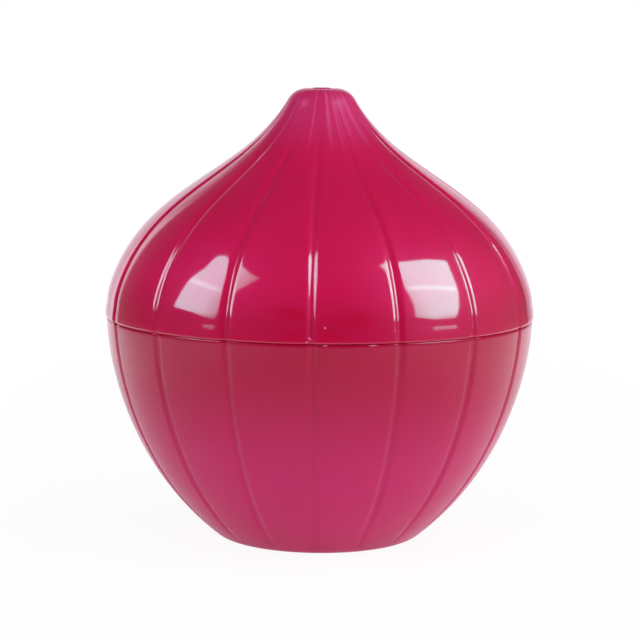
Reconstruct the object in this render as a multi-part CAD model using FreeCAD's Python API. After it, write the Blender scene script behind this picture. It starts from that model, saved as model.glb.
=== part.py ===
"""Onion keeper: a fluted bowl with a collar, and a fluted lid that pushes down over the collar.

Millimetres, +Z up, origin at the centre of the flat bottom. The flutes run down the meridians of
both shells, and the first of them faces -Y.
"""
import math
import os

import FreeCAD
import Part

# Overall sizes
overall_width = 102.5
overall_height = 107.8
seam_height = 53.4

# Walls
lid_wall = 1.6
tip_wall = 3.4
base_wall = 1.8
bottom_wall = 1.8

# Lid outline: insets from the widest radius, rises above the seam, drops below the tip's flat top
dome_inset = 3.1
dome_rise = 12.7
shoulder_inset = 10.05
shoulder_rise = 22.7
flank_radius = 29.1
flank_drop = 21.7
neck_radius = 15.4
neck_drop = 11.6
tip_flat_radius = 3.6
tip_round = 5.0
tip_angle = 30.0
gate_radius = 2.1
gate_height = 0.2
rim_chamfer = 0.4

# Base outline: insets from the shoulder's radius, drops below the seam, heights above the bottom
shoulder_step = 0.3
shoulder_chamfer = 0.35
shoulder_angle = 2.9
waist_inset = 4.3
waist_drop = 21.3
belly_radius = 37.8
belly_height = 15.0
foot_flat_radius = 21.3
foot_round = 5.8
foot_angle = 39.0
recess_radius = 18.1
recess_depth = 0.6

# Collar of the base that the lid pushes over
collar_height = 9.0
collar_wall = 1.4
collar_chamfer = 0.4
collar_clearance = 0.3
seat_clearance = 0.05

# Flutes: V grooves that keep their depth over most of their length and then fade out
flute_count = 16
flute_depth = 0.65
flute_half_angle = 58.0
flute_fade = 6
flute_runout = 0.2
flute_overrun = 1.0
section_count = 10

lid_radius = overall_width / 2
base_radius = lid_radius - shoulder_step
lid_bottom = seam_height + seat_clearance
tip_top = overall_height - gate_height
collar_top = seam_height + collar_height
axis_foot = FreeCAD.Vector(0, 0, 0)
axis_up = FreeCAD.Vector(0, 0, 1)


def point(radius, height):
    """A point of the outline in the XZ plane."""
    return FreeCAD.Vector(radius, 0, height)


def direction(degrees):
    """A unit direction in the XZ plane, turned up from +X."""
    turn = math.radians(degrees)
    return point(math.cos(turn), math.sin(turn))


def arc(centre, radius, start_degrees, end_degrees):
    """A round stretch of the outline about a centre, from one direction to another."""
    middle_degrees = (start_degrees + end_degrees) / 2
    start = centre + direction(start_degrees) * radius
    middle = centre + direction(middle_degrees) * radius
    end = centre + direction(end_degrees) * radius
    return Part.Arc(start, middle, end).toShape()


def smooth_curve(points, start_tangent, end_tangent):
    """A smooth curve through the points, with a set direction at each end."""
    curve = Part.BSplineCurve()
    curve.interpolate(Points=points, InitialTangent=start_tangent, FinalTangent=end_tangent)
    return curve


def spaced_parameters(curve, count):
    """Evenly spaced parameters from one end of the curve to the other."""
    span = curve.LastParameter - curve.FirstParameter
    return [curve.FirstParameter + span * step / (count - 1) for step in range(count)]


def inward_normal(curve, parameter):
    """The direction from the outline into the wall, for a curve that runs upwards."""
    tangent = curve.tangent(parameter)[0]
    return point(-tangent.z, tangent.x)


def parallel_curve(curve, distance):
    """The curve moved into the wall by a distance."""
    parameters = spaced_parameters(curve, 9)
    points = [curve.value(u) + inward_normal(curve, u) * distance for u in parameters]
    return smooth_curve(points, curve.tangent(parameters[0])[0], curve.tangent(parameters[-1])[0])


def radius_at(curve, height):
    """The curve's radius at a height."""
    level = Part.makeLine(point(0, height), point(overall_width, height))
    return curve.toShape().distToShape(level)[1][0][0].x


def polyline(*points):
    """Straight edges from point to point."""
    return [Part.makeLine(start, end) for start, end in zip(points, points[1:])]


def revolved(edges):
    """The solid that a closed outline sweeps about the upright axis."""
    return Part.Face(Part.Wire(edges)).revolve(axis_foot, axis_up, 360)


def tip_centre():
    return point(tip_flat_radius, tip_top - tip_round)


def foot_centre():
    return point(foot_flat_radius, foot_round)


def lid_curve():
    """The lid's outer meridian, from the rim's chamfer up to the rounded corner of the tip."""
    points = [
        point(lid_radius, lid_bottom + rim_chamfer),
        point(lid_radius - dome_inset, seam_height + dome_rise),
        point(lid_radius - shoulder_inset, seam_height + shoulder_rise),
        point(flank_radius, tip_top - flank_drop),
        point(neck_radius, tip_top - neck_drop),
        tip_centre() + direction(tip_angle) * tip_round,
    ]
    return smooth_curve(points, direction(90), direction(90 + tip_angle))


def base_curve():
    """The bowl's outer meridian, from the rounded foot up to the shoulder's chamfer."""
    points = [
        foot_centre() + direction(foot_angle - 90) * foot_round,
        point(belly_radius, belly_height),
        point(base_radius - waist_inset, seam_height - waist_drop),
        point(base_radius, seam_height - shoulder_chamfer),
    ]
    return smooth_curve(points, direction(foot_angle), direction(90 - shoulder_angle))


def flute_section(surface, inward, depth):
    """A V across the outline: its point lies at the depth, and its open side stands off the surface."""
    half_width = (depth + flute_overrun) * math.tan(math.radians(flute_half_angle))
    across = FreeCAD.Vector(0, half_width, 0)
    bottom = surface + inward * depth
    opening = surface - inward * flute_overrun
    return Part.makePolygon([bottom, opening + across, opening - across, bottom])


def flute_cutters(curve, parameters, past_edge):
    """A cutter for each flute: V sections from past the open edge to where the groove fades out."""
    edge_normal = inward_normal(curve, parameters[0])
    sections = [flute_section(curve.value(parameters[0]) + past_edge, edge_normal, flute_depth)]
    for step, parameter in enumerate(parameters):
        faded = (step / (len(parameters) - 1)) ** flute_fade
        depth = flute_depth - (flute_depth + flute_runout) * faded
        sections.append(flute_section(curve.value(parameter), inward_normal(curve, parameter), depth))
    cutters = []
    for index in range(flute_count):
        cutter = Part.makeLoft(sections, True, False)
        cutter.rotate(axis_foot, axis_up, 360 * index / flute_count - 90)
        cutters.append(cutter)
    return cutters


def lid_cavity():
    """The space under the lid: the outline moved in by the wall, with a flat ceiling in the tip."""
    inner = parallel_curve(lid_curve(), lid_wall)
    below = lid_bottom - flute_overrun
    start = inner.value(inner.FirstParameter)
    end = inner.value(inner.LastParameter)
    walls = polyline(end, point(0, end.z), point(0, below), point(start.x, below), start)
    ceiling = tip_top - tip_wall
    reach = Part.makeCylinder(lid_radius, ceiling - below, point(0, below))
    return revolved([inner.toShape()] + walls).common(reach)


def make_lid():
    """The dome with its neck, its cut tip with the low disc of the moulding gate, and its rim."""
    outer = lid_curve()
    edges = polyline(
        point(0, lid_bottom),
        point(lid_radius - rim_chamfer, lid_bottom),
        point(lid_radius, lid_bottom + rim_chamfer),
    )
    edges.append(outer.toShape())
    edges.append(arc(tip_centre(), tip_round, tip_angle, 90))
    edges += polyline(
        point(tip_flat_radius, tip_top),
        point(gate_radius, tip_top),
        point(gate_radius - gate_height, overall_height),
        point(0, overall_height),
        point(0, lid_bottom),
    )
    past_edge = direction(-90) * (rim_chamfer + flute_overrun)
    cutters = flute_cutters(outer, spaced_parameters(outer, section_count), past_edge)
    return revolved(edges).cut(lid_cavity()).cut(cutters)


def collar_foot_radius():
    """The collar's outer radius at the seam, inside the lid's wall."""
    return lid_radius - lid_wall - collar_clearance


def collar_top_radius():
    """The collar's outer radius at its top, inside the lid's curved wall there."""
    return radius_at(parallel_curve(lid_curve(), lid_wall), collar_top) - collar_clearance


def base_cavity():
    """The bowl's inside: the outline moved in by the wall, no wider than the collar's mouth."""
    inner = parallel_curve(base_curve(), base_wall)
    above = collar_top + collar_chamfer
    end = inner.value(inner.LastParameter)
    edges = [arc(foot_centre(), foot_round - base_wall, -90, foot_angle - 90), inner.toShape()]
    edges += polyline(end, point(end.x, above), point(0, above), point(0, base_wall))
    edges += polyline(point(0, base_wall), point(foot_flat_radius, base_wall))
    floor = recess_depth + bottom_wall
    mouth_radius = collar_top_radius() - collar_wall
    return revolved(edges).common(Part.makeCylinder(mouth_radius, above - floor, point(0, floor)))


def make_base():
    """The bowl on its flat ring foot, with a chamfered shoulder and the collar inside the seam."""
    outer = base_curve()
    edges = polyline(
        point(0, collar_top),
        point(0, recess_depth),
        point(recess_radius - recess_depth, recess_depth),
        point(recess_radius, 0),
        point(foot_flat_radius, 0),
    )
    edges.append(arc(foot_centre(), foot_round, -90, foot_angle - 90))
    edges.append(outer.toShape())
    edges += polyline(
        point(base_radius, seam_height - shoulder_chamfer),
        point(base_radius - shoulder_chamfer, seam_height),
        point(collar_foot_radius(), seam_height),
        point(collar_top_radius(), collar_top - collar_chamfer),
        point(collar_top_radius() - collar_chamfer, collar_top),
        point(0, collar_top),
    )
    past_edge = direction(90) * (shoulder_chamfer + flute_overrun)
    down = list(reversed(spaced_parameters(outer, section_count)))
    return revolved(edges).cut(base_cavity()).cut(flute_cutters(outer, down, past_edge))


os.makedirs("parts", exist_ok=True)
make_lid().exportStep("parts/lid.step")
make_base().exportStep("parts/base.step")
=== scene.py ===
"""Onion keeper: the looks of a glossy fluted lid on a satin fluted bowl, both in tinted plastic."""
import math

import bpy
import numpy as np
from mathutils import Matrix, Vector


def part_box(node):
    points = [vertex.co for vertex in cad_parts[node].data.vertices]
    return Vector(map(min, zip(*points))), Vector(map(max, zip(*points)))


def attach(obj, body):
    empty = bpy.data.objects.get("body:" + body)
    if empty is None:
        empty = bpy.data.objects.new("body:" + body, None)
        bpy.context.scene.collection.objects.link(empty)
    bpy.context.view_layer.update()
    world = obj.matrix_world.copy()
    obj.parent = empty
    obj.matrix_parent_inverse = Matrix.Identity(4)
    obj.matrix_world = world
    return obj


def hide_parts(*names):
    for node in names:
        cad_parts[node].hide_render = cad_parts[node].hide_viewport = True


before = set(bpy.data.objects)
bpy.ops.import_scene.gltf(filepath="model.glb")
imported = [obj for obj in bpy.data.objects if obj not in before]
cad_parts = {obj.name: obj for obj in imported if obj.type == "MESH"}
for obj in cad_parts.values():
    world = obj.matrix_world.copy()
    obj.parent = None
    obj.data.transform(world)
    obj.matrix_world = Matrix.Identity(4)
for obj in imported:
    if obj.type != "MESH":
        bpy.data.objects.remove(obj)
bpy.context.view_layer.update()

# Sizes are in millimetres until a mesh is made
MM = 0.001

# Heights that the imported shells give
lid_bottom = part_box("lid")[0].z / MM
overall_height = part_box("lid")[1].z / MM
collar_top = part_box("base")[1].z / MM

# Overall sizes and walls
lid_radius = 51.25
seat_clearance = 0.05
seam_height = lid_bottom - seat_clearance
shoulder_step = 0.3
base_radius = lid_radius - shoulder_step
lid_wall = 1.6
tip_wall = 3.4
base_wall = 1.8
bottom_wall = 1.8

# Lid outline: insets from the widest radius, rises above the seam, drops below the tip's flat top
dome_inset = 3.1
dome_rise = 12.7
shoulder_inset = 10.05
shoulder_rise = 22.7
flank_radius = 29.1
flank_drop = 21.7
neck_radius = 15.4
neck_drop = 11.6
tip_flat_radius = 3.6
tip_round = 5.0
tip_angle = 30.0
gate_radius = 2.1
gate_height = 0.2
gate_round = 0.15
throat_round = 0.6
throat_lean = 0.5
throat_drop = 0.8
rim_start = 0.4
rim_round = 0.35
rim_inner_round = 0.3
rim_inner_leg = 1.0
valley_height = 3.5
valley_depth = 0.105
valley_reach = 1.5

tip_top = overall_height - gate_height

# Base outline: inset from the shoulder's radius, drop below the seam, height above the table
shoulder_angle = 2.9
shoulder_round = 0.35
waist_inset = 4.3
waist_drop = 21.3
belly_radius = 37.8
belly_height = 15.0
foot_flat_radius = 21.3
foot_round = 5.8
foot_angle = 39.0
recess_radius = 18.1
recess_depth = 0.6
recess_round = 0.3
bowl_floor_round = 1.0
shoulder_leg_share = 1.5
shoulder_gap_share = 1.6

# Collar
collar_clearance = 0.3
collar_wall = 1.4
collar_round = 0.45
collar_foot_round = 0.2
collar_foot_rise = 0.5
ledge_round = 0.3

# Flutes: where along the outline they fade, how fast they end across the rim and the ledge, and the
# widest share of half a panel that a groove may take
flute_count = 16
flute_half_width = 1.9
lid_flute_depth = 0.475
lid_flute_fade_start = 0.5
lid_flute_fade_end = 1.04
base_flute_depth = 0.46
base_flute_fade = 6.0
flute_widest_share = 0.95
rim_flute_gain = 1.4
ledge_flute_gain = 1.3
panel_crown = 0.10
side_flute_share = 0.92
base_turn = 0.4

# Mesh: rings along each outline, columns round a flute, and the longest steps on straight stretches
lid_rings = 105
lid_inner_rings = 44
base_rings = 82
base_inner_rings = 42
round_rings = 12
corner_rings = 5
collar_seat_samples = 200
columns_per_flute = 28
columns_in_groove_share = 4 / 7
gate_step = 1.0
wall_step = 1.2
floor_step = 1.5
ring_gap = 0.1
least_radius = 1e-6

# Patches of painted shade and pale marks on the front of the rim: sideways from the front flute, height,
# half width and half height
lid_shade_patches = [(-5.2, 60.1, 5.8, 1.9), (-4.1, 54.8, 3.2, 1.7), (4.0, 54.8, 3.8, 1.8),
                    (10.5, 58.3, 6.4, 3.2)]
lid_pale_marks = [(3.0, 57.1, 0.35, 0.4), (-0.5, 54.75, 0.45, 0.3), (-0.2, 54.45, 0.3, 0.3),
                  (-1.0, 53.9, 0.45, 0.2)]
base_pale_marks = [(3.1, 53.15, 0.7, 0.2), (13.6, 53.1, 1.3, 0.2)]
mark_half_depth = 20
mark_core_share = 0.1

# Colours of the lid's plastic
lid_cloud_dark = (0.60, 0.0042, 0.070)
lid_cloud_light = (0.64, 0.0056, 0.082)
# Painted glow: the tip's lighter, paler colour stands in for light shining through the thin neck
lid_tip_glow_colour = (0.60, 0.020, 0.126)
# Painted shade: the rim's deeper colour stands in for the collar behind the lid
lid_rim_shade_colour = (0.49, 0.0035, 0.046)
# Painted highlight: light streaks that stand in for glints on the neck's flutes
lid_neck_glint_colour = (0.70, 0.13, 0.29)
# Painted shade, in patches on the front of the rim
lid_patch_shade_colour = (0.51, 0.0010, 0.036)
lid_mark_colour = (0.75, 0.20, 0.38)

# Heights on the lid: towards the thick tip it gets dull, with a painted glow of light through the neck
# and painted glints on its flutes, and towards the rim it takes a painted shade of the collar behind it
tip_painted_light_start = 92
tip_painted_light_and_dull_full = 102
neck_glints_full = 104
duller_start = 94
rougher_start = 95
rim_shade_start = 67
rim_shade_full = 56

# The lid's sharp coat, on the dome and on the tip
dome_coat_weight = 1.0
tip_coat_weight = 0.35
dome_coat_roughness = 0.07
tip_coat_roughness = 0.18

# Colours of the base's plastic near the collar and near the foot, and the heights between them: the
# deeper top is painted shade, the lighter and pinker foot painted light and reflection from the table
# below
upper_shaded_cloud_dark = (0.395, 0.0016, 0.037)
upper_shaded_cloud_light = (0.420, 0.0022, 0.042)
lower_lit_cloud_dark = (0.51, 0.0150, 0.116)
lower_lit_cloud_light = (0.54, 0.0170, 0.126)
base_mark_colour = (0.80, 0.30, 0.46)
table_light_start = 50
table_light_full = 18

# Both plastics: how far light scatters in them, and how high the faces' ripple stands
scatter_reach = 3
ripple_height = 0.06

# Table, in metres, with the share of plain white that the camera sees near the keeper and far from it,
# and the table's own glow in the middle and to both sides
floor_radius = 0.45
floor_corners = 96
floor_fade_start = 0.12
floor_fade_end = floor_radius * 0.9
floor_white_near = 0.90
floor_white_far = 1.0
floor_glow_start = 0.05
floor_glow_end = 0.18
floor_glow_middle = 0.33
floor_glow_sides = 0.88

# Camera, as worked out from the photographed outline, with angles in degrees
photo_width = 640
camera_distance = 600.0
camera_height = 131.07
camera_azimuth = 2.0
camera_pitch = 7.49
camera_roll = 0.53
camera_focal_pixels = 2520.0
camera_shift_pixels = 0.4
sensor_width = 36.0

# Softboxes as the keeper sees them: azimuth to the camera's right and elevation of each corner
softbox_distance = 1.2
softbox_tube_reach = 45.0
softbox_tube_gain = 1.45
softbox_dim_height = 170.0
softbox_low_share = 0.5
right_softbox_outline = [(50, 12), (61.5, 6.3), (76.5, 5), (79.5, 12.5), (85, 22), (89, 29), (92.5, 35),
                         (97, 39.5), (85, 46), (73, 50), (50, 54), (52, 41), (51.5, 24)]
left_softbox_outline = [(-55, 6), (-61, 6.5), (-70, 11), (-84.6, 13), (-84.9, 29), (-83.6, 35),
                        (-81, 40), (-82, 48.5), (-77, 51), (-51.5, 46.5), (-42, 45), (-48, 38.5),
                        (-53, 33), (-54, 15)]

# Fill lamps, with Blender's watts for one square metre at a radiance of 1
fill_distance = 1.2
watts_per_radiance = 4

# Surround: the way that its white leans to, its tint in mirrored and scattered light, and how bright
# it is behind the keeper, in the strips behind both sides, to the right and elsewhere
surround_lean = (-0.12, 1, 0)
surround_tint = (0.97, 0.88, 1.0)
plain_white = (1.0, 1.0, 1.0)
behind_brightness = 1.0
strip_brightness = 1.8
right_brightness = 0.22
room_brightness = 0.04


def unit(degrees):
    """Unit direction in the outline's plane: cosine along the radius, sine along the height."""
    return np.array([math.cos(math.radians(degrees)), math.sin(math.radians(degrees))])


def arc(centre, radius, start_degrees, end_degrees, count):
    """Circle arc: centre plus radius times (cos a, sin a), with a running evenly between two angles."""
    angles = np.radians(np.linspace(start_degrees, end_degrees, count))
    return np.asarray(centre) + radius * np.stack([np.cos(angles), np.sin(angles)], axis=1)


def smooth_curve(points, start_direction, end_direction, count):
    """Cubic through the points with an even bend: chord lengths are the parameters, the slopes solve
    m[i-1]/h[i-1] + 2 m[i] (1/h[i-1] + 1/h[i]) + m[i+1]/h[i] = 3 (d[i-1]/h[i-1]^2 + d[i]/h[i]^2),
    with unit slopes set at both ends, and each span is a Hermite cubic."""
    points = np.asarray(points, float)
    steps = np.diff(points, axis=0)
    spans = np.linalg.norm(steps, axis=1)
    knots = np.concatenate([[0.0], np.cumsum(spans)])
    size = len(points)
    matrix = np.zeros((size, size))
    right = np.zeros((size, 2))
    matrix[0, 0] = 1
    matrix[-1, -1] = 1
    right[0] = start_direction
    right[-1] = end_direction
    inner = np.arange(1, size - 1)
    matrix[inner, inner - 1] = 1 / spans[:-1]
    matrix[inner, inner] = 2 * (1 / spans[:-1] + 1 / spans[1:])
    matrix[inner, inner + 1] = 1 / spans[1:]
    right[inner] = 3 * (steps[:-1] / spans[:-1, None] ** 2 + steps[1:] / spans[1:, None] ** 2)
    slopes = np.linalg.solve(matrix, right)
    where = np.linspace(0, knots[-1], count)
    span = np.clip(np.searchsorted(knots, where, side="right") - 1, 0, size - 2)
    length = spans[span][:, None]
    share = (where - knots[span])[:, None] / length
    start_weight = 2 * share ** 3 - 3 * share ** 2 + 1
    start_slope = (share ** 3 - 2 * share ** 2 + share) * length
    end_weight = 3 * share ** 2 - 2 * share ** 3
    end_slope = (share ** 3 - share ** 2) * length
    return (start_weight * points[span] + start_slope * slopes[span]
            + end_weight * points[span + 1] + end_slope * slopes[span + 1])


def left_normals(path):
    """Unit normals on the left of the path's direction: the tangent (dr, dz) turned to (-dz, dr)."""
    tangents = np.gradient(path, axis=0)
    tangents /= np.linalg.norm(tangents, axis=1)[:, None]
    return np.stack([-tangents[:, 1], tangents[:, 0]], axis=1)


def inner_wall(outside, wall):
    """An outline that runs upwards, moved inwards by the wall along its normals."""
    return outside + left_normals(outside) * wall


def rounded(corners, radii):
    """Polyline whose inner corners are arcs: each arc touches both legs at radius / tan(half the angle
    between them) from the corner, and is sampled evenly in angle."""
    corners = np.asarray(corners, float)
    pieces = [corners[:1]]
    for before, corner, after, radius in zip(corners, corners[1:], corners[2:], radii):
        back = (before - corner) / np.linalg.norm(before - corner)
        ahead = (after - corner) / np.linalg.norm(after - corner)
        half = math.acos(float(np.clip(back @ ahead, -1, 1))) / 2
        middle = (back + ahead) / np.linalg.norm(back + ahead)
        centre = corner + middle * radius / math.sin(half)
        first = corner + back * radius / math.tan(half) - centre
        last = corner + ahead * radius / math.tan(half) - centre
        turn = math.atan2(first[0] * last[1] - first[1] * last[0], first @ last)
        angles = math.atan2(first[1], first[0]) + turn * np.linspace(0, 1, corner_rings)
        pieces.append(centre + radius * np.stack([np.cos(angles), np.sin(angles)], axis=1))
    pieces.append(corners[-1:])
    return np.concatenate(pieces)


def subdivided(path, longest):
    """Extra points along the straight stretches, so that no step is longer than a given length."""
    counts = np.maximum(1, np.ceil(np.linalg.norm(np.diff(path, axis=0), axis=1) / longest)).astype(int)
    pieces = [np.linspace(a, b, n, endpoint=False) for a, b, n in zip(path, path[1:], counts)]
    return np.concatenate(pieces + [path[-1:]])


def smoothstep(low, high, value):
    """Even ramp from 0 at low to 1 at high: 3 t^2 - 2 t^3."""
    t = np.clip((value - low) / (high - low), 0, 1)
    return t * t * (3 - 2 * t)


def bell(distance):
    """Bell curve: e to the minus distance squared."""
    return np.exp(-distance ** 2)


def lid_meridian(count):
    """The lid's outside from the rim's round up to the tip's round, before the rim's bead is added."""
    tip = np.array([tip_flat_radius, tip_top - tip_round])
    points = [
        (lid_radius, lid_bottom + rim_start),
        (lid_radius - dome_inset, seam_height + dome_rise),
        (lid_radius - shoulder_inset, seam_height + shoulder_rise),
        (flank_radius, tip_top - flank_drop),
        (neck_radius, tip_top - neck_drop),
        tip + unit(tip_angle) * tip_round,
    ]
    return smooth_curve(points, unit(90), unit(90 + tip_angle), count)


def base_meridian(count):
    """The bowl's outside from the foot's round up to the shoulder."""
    foot = np.array([foot_flat_radius, foot_round])
    points = [
        foot + unit(foot_angle - 90) * foot_round,
        (belly_radius, belly_height),
        (base_radius - waist_inset, seam_height - waist_drop),
        (base_radius, seam_height - shoulder_round),
    ]
    return smooth_curve(points, unit(foot_angle), unit(90 - shoulder_angle), count)


def with_rim_bead(path):
    """The lid's outside with a shallow valley above its edge, so that the edge stands out as a bead:
    the downward path is moved inwards by the valley's depth * e^-((rise - height) / reach)^2."""
    rise = path[:, 1] - lid_bottom
    offset = -valley_depth * bell((rise - valley_height) / valley_reach)
    return path + left_normals(path) * offset[:, None]


class Rings:
    """The rings of a turned shell: outline points, the way that a flute cuts into each, and how deep."""

    def __init__(self):
        self.points = []
        self.cut_ways = []
        self.depths = []

    def add(self, points, cut_ways=(0.0, 0.0), depths=0.0):
        """Adds outline points with their cut directions and flute depths."""
        points = np.asarray(points, float)
        self.points.append(points)
        self.cut_ways.append(np.broadcast_to(np.asarray(cut_ways, float), points.shape))
        self.depths.append(np.broadcast_to(np.asarray(depths, float), (len(points),)))

    def arrays(self):
        """All rings as three arrays."""
        return np.concatenate(self.points), np.concatenate(self.cut_ways), np.concatenate(self.depths)


def turned_mesh(name, rings, turn_degrees):
    """Turned shell with flutes. A column lies at the flute's angle plus a, and a ring's radius and
    height are its outline point moved along its cut direction by
    depth * ((1 + cos(pi * a / g)) / 2)^2 within the groove's half angle g, plus
    crown * (1 - |a| / h)^2, with h half the angle between flutes. The flutes beside the front and back
    ones, where the mould parts, have a share of the depth. The first and last ring are poles."""
    points, cut_ways, depths = rings.arrays()
    half_sector = math.pi / flute_count
    share = np.linspace(-1, 1, columns_per_flute, endpoint=False)
    radii = np.maximum(points[:, :1], least_radius)
    groove = np.minimum(flute_half_width / radii, flute_widest_share * half_sector)
    inside = columns_in_groove_share
    beyond = groove + (np.abs(share) - inside) / (1 - inside) * (half_sector - groove)
    angle = np.where(np.abs(share) <= inside, share / inside * groove, np.sign(share) * beyond)
    hollow = ((1 + np.cos(np.pi * np.clip(angle / groove, -1, 1))) / 2) ** 2
    crown = panel_crown * (depths / depths.max())[:, None] * (radii / lid_radius)
    flutes = np.arange(flute_count)
    shares = np.where(flutes % (flute_count // 2) == 0, 1, side_flute_share)
    rise = crown * (1 - np.abs(angle) / half_sector) ** 2
    cut = (depths[:, None] * hollow)[:, None, :] * shares[None, :, None] + rise[:, None, :]
    radius = points[:, :1, None] + cut * cut_ways[:, :1, None]
    z = points[:, 1:, None] + cut * cut_ways[:, 1:, None]
    flute_angles = flutes * 2 * half_sector - math.pi / 2 + math.radians(turn_degrees)
    turn = flute_angles[None, :, None] + angle[:, None, :]
    x = radius * np.cos(turn)
    y = radius * np.sin(turn)
    rows = len(points)
    columns = flute_count * columns_per_flute
    grid = np.stack([x, y, z], axis=-1).reshape(rows, columns, 3) * MM
    vertices = np.concatenate([grid[:1, 0], grid[1:-1].reshape(-1, 3), grid[-1:, 0]])
    return mesh_object(name, vertices, ring_faces(rows, columns))


def ring_faces(rows, columns):
    """Quads between neighbouring rings, closed round the axis, and a fan of triangles at each pole."""
    ring = np.arange(columns)
    after = (ring + 1) % columns
    starts = 1 + columns * np.arange(rows - 3)[:, None]
    quads = np.stack([starts + ring, starts + columns + ring, starts + columns + after, starts + after],
                     axis=-1).reshape(-1, 4)
    last_start = 1 + columns * (rows - 3)
    last = last_start + columns
    first_fan = np.stack([np.zeros_like(ring), 1 + ring, 1 + after], axis=-1)
    last_fan = np.stack([last_start + ring, np.full_like(ring, last), last_start + after], axis=-1)
    return quads, np.concatenate([first_fan, last_fan])


def mesh_object(name, vertices, faces):
    """A mesh of quads and triangles, smooth shaded, with its object at the origin."""
    quads, triangles = faces
    mesh = bpy.data.meshes.new(name)
    mesh.vertices.add(len(vertices))
    mesh.vertices.foreach_set("co", vertices.astype(np.float32).ravel())
    loops = np.concatenate([quads.ravel(), triangles.ravel()])
    sizes = np.concatenate([np.full(len(quads), 4), np.full(len(triangles), 3)])
    mesh.loops.add(len(loops))
    mesh.loops.foreach_set("vertex_index", loops.astype(np.int32))
    mesh.polygons.add(len(sizes))
    mesh.polygons.foreach_set("loop_start", (np.cumsum(sizes) - sizes).astype(np.int32))
    mesh.update(calc_edges=True)
    mesh.shade_smooth()
    mesh.validate()
    thing = bpy.data.objects.new(name, mesh)
    bpy.context.scene.collection.objects.link(thing)
    return thing


def make_lid():
    """The dome from the gate's disc on its cut tip, down the outside, round the rim, up the inside."""
    rings = Rings()
    gate = [(0, overall_height), (gate_radius - gate_height, overall_height),
            (gate_radius, tip_top), (tip_flat_radius, tip_top)]
    rings.add(subdivided(rounded(gate, [gate_round, gate_round]), gate_step)[:-1])
    tip = (tip_flat_radius, tip_top - tip_round)
    rings.add(arc(tip, tip_round, 90, tip_angle, round_rings)[:-1])
    outside = lid_meridian(lid_rings)[::-1]
    share = np.linspace(1, 0, len(outside))
    depths = lid_flute_depth * (1 - smoothstep(lid_flute_fade_start, lid_flute_fade_end, share))
    outside = with_rim_bead(outside)
    rings.add(outside, -left_normals(outside), depths)
    inner_rim = lid_radius - lid_wall
    rim = [outside[-1], (outside[-1][0], lid_bottom), (inner_rim, lid_bottom),
           (inner_rim, lid_bottom + rim_inner_leg)]
    edge = rounded(rim, [rim_round, rim_inner_round])[1:-1]
    fade = np.clip((edge[:, 0] - inner_rim) / lid_wall * rim_flute_gain, 0, 1)
    rings.add(edge, (-1, 0), depths[-1] * fade)
    inside = inner_wall(lid_meridian(lid_inner_rings), lid_wall)
    ceiling = tip_top - tip_wall
    above_rim = inside[:, 1] > lid_bottom + rim_inner_round + ring_gap
    inside = inside[above_rim & (inside[:, 1] < ceiling - throat_drop)]
    neck = inside[-1]
    throat = [neck, (neck[0] - throat_lean, ceiling), (0, ceiling)]
    rings.add(inside[:-1])
    rings.add(subdivided(rounded(throat, [throat_round]), wall_step))
    return turned_mesh("lid_shell", rings, 0)


def collar_radii():
    """The collar's outer radius at the seam and at its top, inside the lid's wall by the clearance."""
    inside = inner_wall(lid_meridian(collar_seat_samples), lid_wall)
    at_top = np.interp(collar_top, inside[:, 1], inside[:, 0])
    return lid_radius - lid_wall - collar_clearance, at_top - collar_clearance


def make_base():
    """The bowl from the middle of its floor, up the inside, over the collar and down the outside."""
    foot_of_collar, top_of_collar = collar_radii()
    mouth = top_of_collar - collar_wall
    floor = recess_depth + bottom_wall
    inside = inner_wall(base_meridian(base_inner_rings), base_wall)
    inside = inside[(inside[:, 0] < mouth) & (inside[:, 1] > floor + bowl_floor_round)]
    upwards = inside[1] - inside[0]
    bowl_corner = inside[0] - upwards / upwards[1] * (inside[0][1] - floor)
    rings = Rings()
    bowl_floor = rounded([(0, floor), bowl_corner, inside[0]], [bowl_floor_round])
    rings.add(subdivided(bowl_floor, floor_step)[:-1])
    rings.add(inside[:-1])
    collar = [inside[-1], (mouth, inside[-1][1] + collar_foot_rise), (mouth, collar_top),
              (top_of_collar, collar_top), (foot_of_collar, seam_height), (base_radius, seam_height),
              (base_radius, seam_height - shoulder_round * shoulder_leg_share)]
    radii = [collar_foot_round, collar_round, collar_round, ledge_round, shoulder_round]
    collar = subdivided(rounded(collar, radii), wall_step)[:-1]
    on_ledge = (collar[:, 0] > foot_of_collar) & (collar[:, 1] < seam_height + ring_gap)
    across = (collar[:, 0] - foot_of_collar) / (base_radius - foot_of_collar)
    reach = np.clip(across * ledge_flute_gain, 0, 1)
    rings.add(collar, (-1, 0), np.where(on_ledge, reach * base_flute_depth, 0))
    outside = base_meridian(base_rings)[::-1]
    outside = outside[outside[:, 1] < seam_height - shoulder_round * shoulder_gap_share]
    share = np.linspace(0, 1, len(outside))
    depths = base_flute_depth * (1 - share ** base_flute_fade)
    rings.add(outside, -left_normals(outside), depths)
    foot = (foot_flat_radius, foot_round)
    rings.add(arc(foot, foot_round, foot_angle - 90, -90, round_rings)[1:-1])
    under = [(foot_flat_radius, 0), (recess_radius, 0), (recess_radius - recess_depth, recess_depth),
             (0, recess_depth)]
    rings.add(subdivided(rounded(under, [recess_round, recess_round]), floor_step))
    return turned_mesh("base_shell", rings, base_turn)


def new_material(name):
    """A material with a Principled shader, and the pieces that its nodes are added to."""
    material = bpy.data.materials.new(name)
    material.use_nodes = True
    return material, material.node_tree, material.node_tree.nodes["Principled BSDF"]


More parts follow.
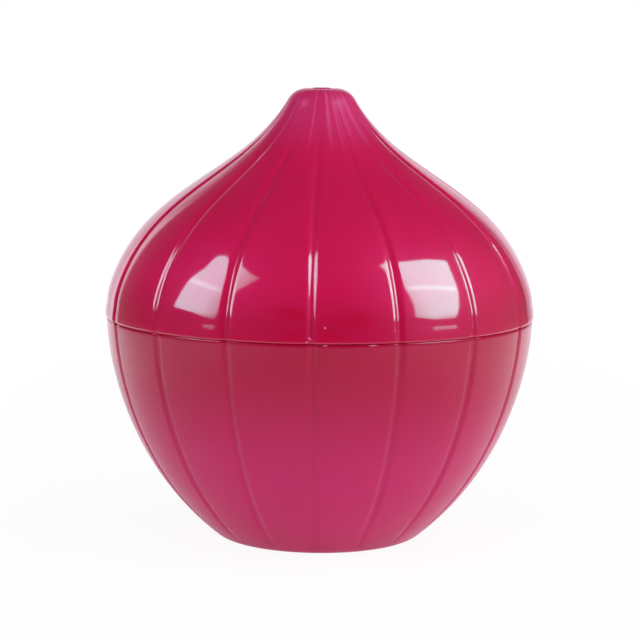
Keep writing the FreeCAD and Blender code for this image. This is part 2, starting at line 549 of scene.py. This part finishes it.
def object_noise(tree, scale, detail, seed):
    """Noise on Object coordinates, moved by a seed so that two noises differ."""
    where = tree.nodes.new("ShaderNodeTexCoord")
    moved = tree.nodes.new("ShaderNodeMapping")
    moved.inputs["Location"].default_value = (seed, seed * 0.7, seed * 1.3)
    noise = tree.nodes.new("ShaderNodeTexNoise")
    noise.inputs["Scale"].default_value = scale
    noise.inputs["Detail"].default_value = detail
    tree.links.new(where.outputs["Object"], moved.inputs["Vector"])
    tree.links.new(moved.outputs["Vector"], noise.inputs["Vector"])
    return noise.outputs["Fac"]


def height_ramp(tree, low, high):
    """Smooth ramp on the Object height, from 0 at low to 1 at high, both in millimetres."""
    return place_ramp(tree, (0, 0, 1), low, high)


def place_ramp(tree, way, low, high):
    """Smooth ramp on the Object position along a way, from 0 at low to 1 at high, in millimetres."""
    where = tree.nodes.new("ShaderNodeTexCoord")
    along = tree.nodes.new("ShaderNodeVectorMath")
    along.operation = "DOT_PRODUCT"
    along.inputs[1].default_value = way
    tree.links.new(where.outputs["Object"], along.inputs[0])
    return ranged(tree, along.outputs["Value"], low * MM, high * MM, 0, 1, "SMOOTHSTEP")


def ranged(tree, value, low, high, to_low, to_high, kind="LINEAR"):
    """A value carried from one range to another."""
    node = tree.nodes.new("ShaderNodeMapRange")
    node.interpolation_type = kind
    for name, number in (("From Min", low), ("From Max", high), ("To Min", to_low), ("To Max", to_high)):
        node.inputs[name].default_value = number
    tree.links.new(value, node.inputs["Value"])
    return node.outputs["Result"]


def combined(tree, operation, first, second):
    """Two values put together by a Math operation."""
    node = tree.nodes.new("ShaderNodeMath")
    node.operation = operation
    tree.links.new(first, node.inputs[0])
    tree.links.new(second, node.inputs[1])
    return node.outputs["Value"]


def brighter(tree, first, second):
    """The larger of two values."""
    return combined(tree, "MAXIMUM", first, second)


def times(tree, first, second):
    """The product of two values."""
    return combined(tree, "MULTIPLY", first, second)


def blended(tree, share, first, second):
    """A colour between two others, each an output or three numbers, by a share."""
    node = tree.nodes.new("ShaderNodeMix")
    node.data_type = "RGBA"
    tree.links.new(share, node.inputs["Factor"])
    for socket, colour in ((node.inputs[6], first), (node.inputs[7], second)):
        if isinstance(colour, tuple):
            socket.default_value = (*colour, 1)
        else:
            tree.links.new(colour, socket)
    return node.outputs[2]


def rippled(tree, shader, scale, seed):
    """The faint waviness of a moulded face: a soft noise as a bump."""
    ripple = object_noise(tree, scale, 1.5, seed)
    node = tree.nodes.new("ShaderNodeBump")
    node.inputs["Strength"].default_value = 0.5
    node.inputs["Distance"].default_value = ripple_height * MM
    tree.links.new(ripple, node.inputs["Height"])
    tree.links.new(node.outputs["Normal"], shader.inputs["Normal"])


def scattering(shader):
    """Light that goes into the plastic and comes out nearby, the red the farthest."""
    shader.inputs["Subsurface Weight"].default_value = 0.25
    shader.inputs["Subsurface Radius"].default_value = (1.0, 0.12, 0.25)
    shader.inputs["Subsurface Scale"].default_value = scatter_reach * MM


def painted_neck_glints(tree):
    """Painted highlight: light streaks down the neck that stand in for glints on its flutes. They are
    noise on the direction round the axis alone, full at the tip's round and gone below the neck."""
    where = tree.nodes.new("ShaderNodeTexCoord")
    flat = tree.nodes.new("ShaderNodeVectorMath")
    flat.operation = "MULTIPLY"
    flat.inputs[1].default_value = (1, 1, 0)
    tree.links.new(where.outputs["Object"], flat.inputs[0])
    direction = tree.nodes.new("ShaderNodeVectorMath")
    direction.operation = "NORMALIZE"
    tree.links.new(flat.outputs["Vector"], direction.inputs[0])
    noise = tree.nodes.new("ShaderNodeTexNoise")
    noise.inputs["Scale"].default_value = 9
    noise.inputs["Detail"].default_value = 3
    tree.links.new(direction.outputs["Vector"], noise.inputs["Vector"])
    streaks = ranged(tree, noise.outputs["Fac"], 0.54, 0.76, 0, 1)
    return times(tree, streaks, height_ramp(tree, tip_painted_light_start, neck_glints_full))


def front_spots(tree, spots):
    """Soft spots on the front: 1 within the core's share of a spot's reach, falling to 0 at its edge.
    The distance from its centre is the Object position's, divided by the spot's half sizes."""
    covered = None
    for sideways, height, half_width, half_height in spots:
        where = tree.nodes.new("ShaderNodeTexCoord")
        from_centre = tree.nodes.new("ShaderNodeVectorMath")
        from_centre.operation = "SUBTRACT"
        from_centre.inputs[1].default_value = (sideways * MM, -lid_radius * MM, height * MM)
        tree.links.new(where.outputs["Object"], from_centre.inputs[0])
        scaled = tree.nodes.new("ShaderNodeVectorMath")
        scaled.operation = "DIVIDE"
        scaled.inputs[1].default_value = (half_width * MM, mark_half_depth * MM, half_height * MM)
        tree.links.new(from_centre.outputs["Vector"], scaled.inputs[0])
        distance = tree.nodes.new("ShaderNodeVectorMath")
        distance.operation = "LENGTH"
        tree.links.new(scaled.outputs["Vector"], distance.inputs[0])
        spot = ranged(tree, distance.outputs["Value"], mark_core_share, 1, 1, 0, "SMOOTHSTEP")
        covered = spot if covered is None else brighter(tree, covered, spot)
    return covered


def glossy_lid_plastic():
    """Tinted plastic from a polished mould: deep magenta, with a painted glow and painted glints towards
    the thick tip, and painted shade at the rim and in patches on the front. A sharp coat lies over a
    wide haze that only mirrors red and blue."""
    material, tree, shader = new_material("glossy_lid_plastic")
    clouds = ranged(tree, object_noise(tree, 45, 2, 0.3), 0.3, 0.7, 0, 1)
    body = blended(tree, clouds, lid_cloud_dark, lid_cloud_light)
    # Painted glow towards the tip, for light shining through the thin neck
    body = blended(tree, height_ramp(tree, tip_painted_light_start, tip_painted_light_and_dull_full), body, lid_tip_glow_colour)
    # Painted shade towards the rim, for the collar behind the lid
    body = blended(tree, height_ramp(tree, rim_shade_start, rim_shade_full), body, lid_rim_shade_colour)
    # Painted glints on the neck's flutes
    body = blended(tree, painted_neck_glints(tree), body, lid_neck_glint_colour)
    # Painted shade in patches on the front of the rim
    body = blended(tree, front_spots(tree, lid_shade_patches), body, lid_patch_shade_colour)
    body = blended(tree, front_spots(tree, lid_pale_marks), body, lid_mark_colour)
    tree.links.new(body, shader.inputs["Base Color"])
    haze = ranged(tree, object_noise(tree, 120, 4, 1.1), 0.3, 0.75, 0.42, 0.48)
    tree.links.new(haze, shader.inputs["Roughness"])
    shader.inputs["IOR"].default_value = 1.36
    shader.inputs["Specular Tint"].default_value = (1.0, 0.10, 0.60, 1)
    duller = height_ramp(tree, duller_start, tip_painted_light_and_dull_full)
    gloss = ranged(tree, duller, 0, 1, dome_coat_weight, tip_coat_weight)
    tree.links.new(gloss, shader.inputs["Coat Weight"])
    rougher = height_ramp(tree, rougher_start, tip_painted_light_and_dull_full)
    softness = ranged(tree, rougher, 0, 1, dome_coat_roughness, tip_coat_roughness)
    tree.links.new(softness, shader.inputs["Coat Roughness"])
    shader.inputs["Coat IOR"].default_value = 1.50
    scattering(shader)
    rippled(tree, shader, 70, 2.2)
    return material


def satin_base_plastic():
    """The same tinted plastic from a frosted mould: painted shade near the collar, painted table light
    and reflection towards the foot, and a plain satin shine.
    """
    material, tree, shader = new_material("satin_base_plastic")
    clouds = ranged(tree, object_noise(tree, 40, 2, 4.3), 0.3, 0.7, 0, 1)
    upper = blended(tree, clouds, upper_shaded_cloud_dark, upper_shaded_cloud_light)
    lower = blended(tree, clouds, lower_lit_cloud_dark, lower_lit_cloud_light)
    # Painted light: pinker and lighter towards the foot for the table's light, deeper near the collar
    body = blended(tree, height_ramp(tree, table_light_start, table_light_full), upper, lower)
    body = blended(tree, front_spots(tree, base_pale_marks), body, base_mark_colour)
    tree.links.new(body, shader.inputs["Base Color"])
    frost = ranged(tree, object_noise(tree, 150, 1.5, 5.1), 0.2, 0.8, 0.15, 0.21)
    tree.links.new(frost, shader.inputs["Roughness"])
    shader.inputs["IOR"].default_value = 1.40
    shader.inputs["Specular Tint"].default_value = (1.0, 0.80, 1.0, 1)
    scattering(shader)
    rippled(tree, shader, 65, 6.2)
    return material


def dressed(piece, material, body, node):
    """A piece with its material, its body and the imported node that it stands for."""
    piece.data.materials.append(material)
    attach(piece, body)
    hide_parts(node)


def around(azimuth, elevation, distance):
    """A place at a distance from the keeper's middle, by azimuth to the camera's right and elevation."""
    a = math.radians(azimuth + camera_azimuth)
    e = math.radians(elevation)
    way = Vector((math.sin(a) * math.cos(e), -math.cos(a) * math.cos(e), math.sin(e)))
    return Vector((0, 0, overall_height / 2 * MM)) + way * distance


def fill_lamp(name, azimuth, elevation, width, radiance):
    """A square lamp that faces the keeper and lights its colours, but isn't mirrored."""
    data = bpy.data.lights.new(name, "AREA")
    data.shape = "RECTANGLE"
    data.size = width
    data.size_y = width
    data.energy = watts_per_radiance * radiance * width * width
    lamp = bpy.data.objects.new(name, data)
    bpy.context.scene.collection.objects.link(lamp)
    place = around(azimuth, elevation, fill_distance)
    aim = (place - around(0, 0, 0)).to_track_quat("Z", "Y").to_matrix().to_4x4()
    lamp.matrix_world = Matrix.Translation(place) @ aim
    lamp.visible_camera = False
    lamp.visible_glossy = False


def softbox(name, outline, colour, brightness, near_share, near_reach, tube_height, tube_slope):
    """A flat glowing panel that the plastic mirrors. Its corners lie in the outline's directions, on the
    plane that faces the keeper at the softbox's distance. A tube behind its cloth shows as a brighter
    line, at the tube's height minus its slope times y. The panel is dimmer along its lower edge, and
    over the near reach it falls to the near share towards the edge that is nearest to the camera."""
    middle = around(0, 0, 0)
    ways = [around(azimuth, elevation, 1) - middle for azimuth, elevation in outline]
    facing = sum(ways, Vector((0, 0, 0))).normalized()
    corners = [middle + way * softbox_distance / way.dot(facing) for way in ways]
    mesh = bpy.data.meshes.new(name)
    mesh.from_pydata(corners, [], [list(range(len(corners)))])
    panel = bpy.data.objects.new(name, mesh)
    bpy.context.scene.collection.objects.link(panel)
    material = bpy.data.materials.new(name)
    material.use_nodes = True
    tree = material.node_tree
    tree.nodes.remove(tree.nodes["Principled BSDF"])
    glow = tree.nodes.new("ShaderNodeEmission")
    glow.inputs["Color"].default_value = (*colour, 1)
    way = (0, tube_slope, 1)
    tube = times(tree, place_ramp(tree, way, tube_height - softbox_tube_reach, tube_height),
                 place_ramp(tree, way, tube_height + softbox_tube_reach, tube_height))
    low_edge = min(corner.z for corner in corners) / MM
    rise = height_ramp(tree, low_edge, low_edge + softbox_dim_height)
    sideways = Vector((-facing.y, facing.x, 0)) * math.copysign(1, facing.x)
    near_edge = min(corner.dot(sideways) for corner in corners) / MM
    inward = place_ramp(tree, sideways, near_edge, near_edge + near_reach)
    level = times(tree, ranged(tree, rise, 0, 1, softbox_low_share, 1),
                  ranged(tree, inward, 0, 1, near_share, 1))
    level = times(tree, level, ranged(tree, tube, 0, 1, brightness, brightness * softbox_tube_gain))
    tree.links.new(level, glow.inputs["Strength"])
    tree.links.new(glow.outputs["Emission"], tree.nodes["Material Output"].inputs["Surface"])
    mesh.materials.append(material)
    panel.visible_camera = False
    panel.visible_diffuse = False


def make_lights():
    """Two softboxes that the lid mirrors, and softer lamps that light the colours at a plain level."""
    softbox("right_softbox", right_softbox_outline, (0.36, 1.0, 0.98), 13.0, 0.6, 300, 585, 0.37)
    softbox("left_softbox", left_softbox_outline, (0.50, 1.0, 1.10), 9.4, 0.35, 340, 698, 0)
    fill_lamp("right_fill", 50, 15, 1.0, 1.50)
    fill_lamp("side_fill", 90, 22, 1.0, 0.80)
    fill_lamp("left_fill", -50, 15, 1.0, 1.07)
    fill_lamp("top_fill", 10, 80, 1.6, 1.02)


def make_world():
    """White to the camera. In mirrored and scattered light, white behind the keeper, brighter in a strip
    behind each side, faint to the right, and dim where the camera and the room would be."""
    world = bpy.data.worlds.new("studio")
    bpy.context.scene.world = world
    world.use_nodes = True
    tree = world.node_tree
    background = tree.nodes["Background"]
    where = tree.nodes.new("ShaderNodeTexCoord")
    split = tree.nodes.new("ShaderNodeSeparateXYZ")
    tree.links.new(where.outputs["Generated"], split.inputs["Vector"])
    sideways, back = split.outputs["X"], split.outputs["Y"]
    aside = ranged(tree, times(tree, sideways, sideways), 0.12, 0.30, 0, 1, "SMOOTHSTEP")
    leaning = tree.nodes.new("ShaderNodeVectorMath")
    leaning.operation = "DOT_PRODUCT"
    leaning.inputs[1].default_value = surround_lean
    tree.links.new(where.outputs["Generated"], leaning.inputs[0])
    cove = ranged(tree, leaning.outputs["Value"], 0.80, 0.90, room_brightness, behind_brightness,
                  "SMOOTHSTEP")
    start = ranged(tree, leaning.outputs["Value"], 0.785, 0.825, 0, 1)
    edge = times(tree, start, ranged(tree, back, 0.78, 0.95, strip_brightness, behind_brightness))
    cove = brighter(tree, cove, times(tree, aside, edge))
    side = ranged(tree, sideways, 0.5, 0.95, room_brightness, right_brightness, "SMOOTHSTEP")
    path = tree.nodes.new("ShaderNodeLightPath")
    seen = path.outputs["Is Camera Ray"]
    tree.links.new(blended(tree, seen, surround_tint, plain_white), background.inputs["Color"])
    level = brighter(tree, brighter(tree, cove, side), seen)
    tree.links.new(level, background.inputs["Strength"])


def make_floor():
    """A white table disc. For the camera it is nine tenths plain white near the keeper, so that a light
    shadow stays, and all white farther out. It glows a little near the keeper and more to both sides."""
    mesh = bpy.data.meshes.new("floor")
    turn = np.linspace(0, 2 * math.pi, floor_corners, endpoint=False)
    edge = np.stack([np.cos(turn), np.sin(turn), np.zeros_like(turn)], axis=1) * floor_radius
    mesh.from_pydata(edge.tolist(), [], [list(range(len(edge)))])
    floor = bpy.data.objects.new("floor", mesh)
    bpy.context.scene.collection.objects.link(floor)
    material, tree, shader = new_material("floor_white")
    shader.inputs["Base Color"].default_value = (0.86, 0.86, 0.86, 1)
    shader.inputs["Emission Color"].default_value = (1.0, 0.90, 1.0, 1)
    shader.inputs["Roughness"].default_value = 0.9
    shader.inputs["Specular IOR Level"].default_value = 0.0
    glow = tree.nodes.new("ShaderNodeEmission")
    where = tree.nodes.new("ShaderNodeTexCoord")
    distance = tree.nodes.new("ShaderNodeVectorMath")
    distance.operation = "LENGTH"
    tree.links.new(where.outputs["Object"], distance.inputs[0])
    split = tree.nodes.new("ShaderNodeSeparateXYZ")
    tree.links.new(where.outputs["Object"], split.inputs["Vector"])
    across = times(tree, split.outputs["X"], split.outputs["X"])
    own_light = ranged(tree, across, floor_glow_start ** 2, floor_glow_end ** 2, floor_glow_middle,
                       floor_glow_sides, "SMOOTHSTEP")
    tree.links.new(own_light, shader.inputs["Emission Strength"])
    path = tree.nodes.new("ShaderNodeLightPath")
    fade = ranged(tree, distance.outputs["Value"], floor_fade_start, floor_fade_end, floor_white_near,
                  floor_white_far, "SMOOTHSTEP")
    share = times(tree, path.outputs["Is Camera Ray"], fade)
    mix = tree.nodes.new("ShaderNodeMixShader")
    tree.links.new(share, mix.inputs["Fac"])
    tree.links.new(shader.outputs["BSDF"], mix.inputs[1])
    tree.links.new(glow.outputs["Emission"], mix.inputs[2])
    tree.links.new(mix.outputs["Shader"], tree.nodes["Material Output"].inputs["Surface"])
    mesh.materials.append(material)


def make_camera():
    """The photographed view: distance, height, pitch and roll of the camera, and its long lens."""
    data = bpy.data.cameras.new("camera")
    data.sensor_width = sensor_width
    data.lens = camera_focal_pixels * sensor_width / photo_width
    data.shift_x = camera_shift_pixels / photo_width
    data.clip_start = 0.01
    camera = bpy.data.objects.new("camera", data)
    bpy.context.scene.collection.objects.link(camera)
    turn = math.radians(camera_azimuth)
    across, away = math.sin(turn) * camera_distance, math.cos(turn) * camera_distance
    place = Vector((across, -away, camera_height)) * MM
    pose = Matrix.Translation(place) @ Matrix.Rotation(turn, 4, "Z")
    pose = pose @ Matrix.Rotation(math.radians(90 - camera_pitch), 4, "X")
    camera.matrix_world = pose @ Matrix.Rotation(math.radians(camera_roll), 4, "Z")
    bpy.context.scene.camera = camera


make_camera()
dressed(make_lid(), glossy_lid_plastic(), "lid", "lid")
dressed(make_base(), satin_base_plastic(), "base", "base")
make_lights()
make_world()
make_floor()
bpy.context.scene.view_settings.view_transform = "Standard"
